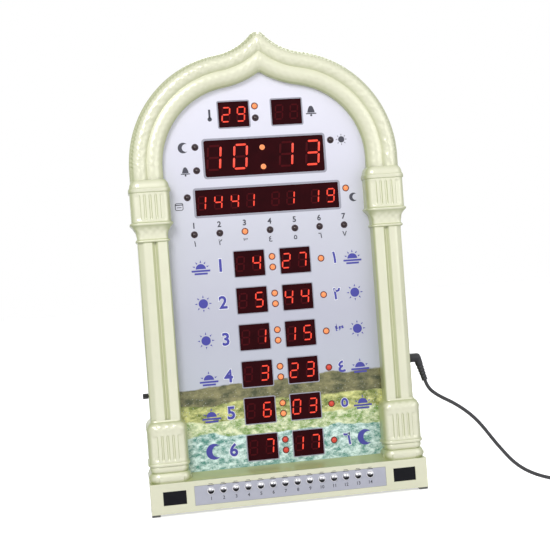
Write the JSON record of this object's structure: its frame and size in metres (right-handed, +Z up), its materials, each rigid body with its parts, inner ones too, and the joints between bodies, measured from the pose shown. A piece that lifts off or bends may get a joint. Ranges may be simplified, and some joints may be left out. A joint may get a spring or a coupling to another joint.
{
  "type": "prayer time clock",
  "caption": "Upright arched digital clock with two columns, a printed dial of seven-segment displays and lamps, push buttons along the plinth and a mains adapter on a cord.",
  "frame": {"origin": "on the floor under the middle of the clock, half way between the button tips and the back", "axes": "+Z up, +Y to the back, +X to the right seen from the front"},
  "size_m": [0.536, 0.1006, 0.4518],
  "materials": {
    "pearl_case": "champagne pearl lacquer",
    "back_plastic": "fine grain",
    "printed_face": "printed sheet",
    "silver_strip": "silver film",
    "dark_window": "tinted clear",
    "display_red": "dark red filter",
    "lamp_lens": "diffused epoxy",
    "chrome_button": "polished plating",
    "circuit_board": "solder resist",
    "black_plastic": "moulded",
    "grey_cable": "flat cable",
    "speaker_steel": "plain",
    "speaker_paper": "pulp cone",
    "ferrite": "ground",
    "steel": "plain",
    "cell_steel": "plain",
    "brass_pin": "nickel over brass",
    "cord_jacket": "soft jacket",
    "foot_rubber": "matt",
    "knob_plastic": "moulded"
  },
  "bodies": {
    "case": {"front_frame": "pearl_case", "back_cover": "back_plastic", "dial_panel": "printed_face", "label_strip": "silver_strip", "sensor_windows": "dark_window", "time_display": "display_red", "date_display": "display_red", "temperature_display": "display_red", "iqamah_display": "display_red", "day_leds": "lamp_lens", "status_leds": "lamp_lens", "colon_leds": "lamp_lens", "row_leds": "lamp_lens", "main_board": "circuit_board", "button_board": "circuit_board", "tact_switches": "black_plastic", "ribbon_cable": "grey_cable", "speaker_basket": "speaker_steel", "speaker_cone": "speaker_paper", "speaker_magnet": "ferrite", "driver_chips": "black_plastic", "coin_cell_holder": "black_plastic", "coin_cell": "cell_steel", "infrared_receiver": "black_plastic", "volume_potentiometer": "steel", "dc_jack": "black_plastic", "dc_plug": "black_plastic", "power_cord": "cord_jacket", "cord_coil": "cord_jacket", "power_adapter": "black_plastic", "adapter_pins": "brass_pin", "foot_pads": "foot_rubber", "screws": "steel", "hour_display_1": "display_red", "minute_display_1": "display_red", "hour_display_2": "display_red", "minute_display_2": "display_red", "hour_display_3": "display_red", "minute_display_3": "display_red", "hour_display_4": "display_red", "minute_display_4": "display_red", "hour_display_5": "display_red", "minute_display_5": "display_red", "hour_display_6": "display_red", "minute_display_6": "display_red"},
    "button_01": {"button_01": "chrome_button"},
    "button_02": {"button_02": "chrome_button"},
    "button_03": {"button_03": "chrome_button"},
    "button_04": {"button_04": "chrome_button"},
    "button_05": {"button_05": "chrome_button"},
    "button_06": {"button_06": "chrome_button"},
    "button_07": {"button_07": "chrome_button"},
    "button_08": {"button_08": "chrome_button"},
    "button_09": {"button_09": "chrome_button"},
    "button_10": {"button_10": "chrome_button"},
    "button_11": {"button_11": "chrome_button"},
    "button_12": {"button_12": "chrome_button"},
    "button_13": {"button_13": "chrome_button"},
    "button_14": {"button_14": "chrome_button"},
    "volume_knob": {"volume_knob": "knob_plastic"}
  },
  "joints": [
    {"name": "button_01_press", "type": "slide", "parent": "case", "child": "button_01", "axis": [0, 1, 0], "range_m": [0, 0.0005], "stiffness_N_per_m": 1500},
    {"name": "button_02_press", "type": "slide", "parent": "case", "child": "button_02", "axis": [0, 1, 0], "range_m": [0, 0.0005], "stiffness_N_per_m": 1500},
    {"name": "button_03_press", "type": "slide", "parent": "case", "child": "button_03", "axis": [0, 1, 0], "range_m": [0, 0.0005], "stiffness_N_per_m": 1500},
    {"name": "button_04_press", "type": "slide", "parent": "case", "child": "button_04", "axis": [0, 1, 0], "range_m": [0, 0.0005], "stiffness_N_per_m": 1500},
    {"name": "button_05_press", "type": "slide", "parent": "case", "child": "button_05", "axis": [0, 1, 0], "range_m": [0, 0.0005], "stiffness_N_per_m": 1500},
    {"name": "button_06_press", "type": "slide", "parent": "case", "child": "button_06", "axis": [0, 1, 0], "range_m": [0, 0.0005], "stiffness_N_per_m": 1500},
    {"name": "button_07_press", "type": "slide", "parent": "case", "child": "button_07", "axis": [0, 1, 0], "range_m": [0, 0.0005], "stiffness_N_per_m": 1500},
    {"name": "button_08_press", "type": "slide", "parent": "case", "child": "button_08", "axis": [0, 1, 0], "range_m": [0, 0.0005], "stiffness_N_per_m": 1500},
    {"name": "button_09_press", "type": "slide", "parent": "case", "child": "button_09", "axis": [0, 1, 0], "range_m": [0, 0.0005], "stiffness_N_per_m": 1500},
    {"name": "button_10_press", "type": "slide", "parent": "case", "child": "button_10", "axis": [0, 1, 0], "range_m": [0, 0.0005], "stiffness_N_per_m": 1500},
    {"name": "button_11_press", "type": "slide", "parent": "case", "child": "button_11", "axis": [0, 1, 0], "range_m": [0, 0.0005], "stiffness_N_per_m": 1500},
    {"name": "button_12_press", "type": "slide", "parent": "case", "child": "button_12", "axis": [0, 1, 0], "range_m": [0, 0.0005], "stiffness_N_per_m": 1500},
    {"name": "button_13_press", "type": "slide", "parent": "case", "child": "button_13", "axis": [0, 1, 0], "range_m": [0, 0.0005], "stiffness_N_per_m": 1500},
    {"name": "button_14_press", "type": "slide", "parent": "case", "child": "button_14", "axis": [0, 1, 0], "range_m": [0, 0.0005], "stiffness_N_per_m": 1500},
    {"name": "volume_turn", "type": "hinge", "parent": "case", "child": "volume_knob", "pos_m": [-0.1262, 0.0055, 0.1105], "axis": [1, 0, 0], "range_deg": [-150, 150]}
  ]
}
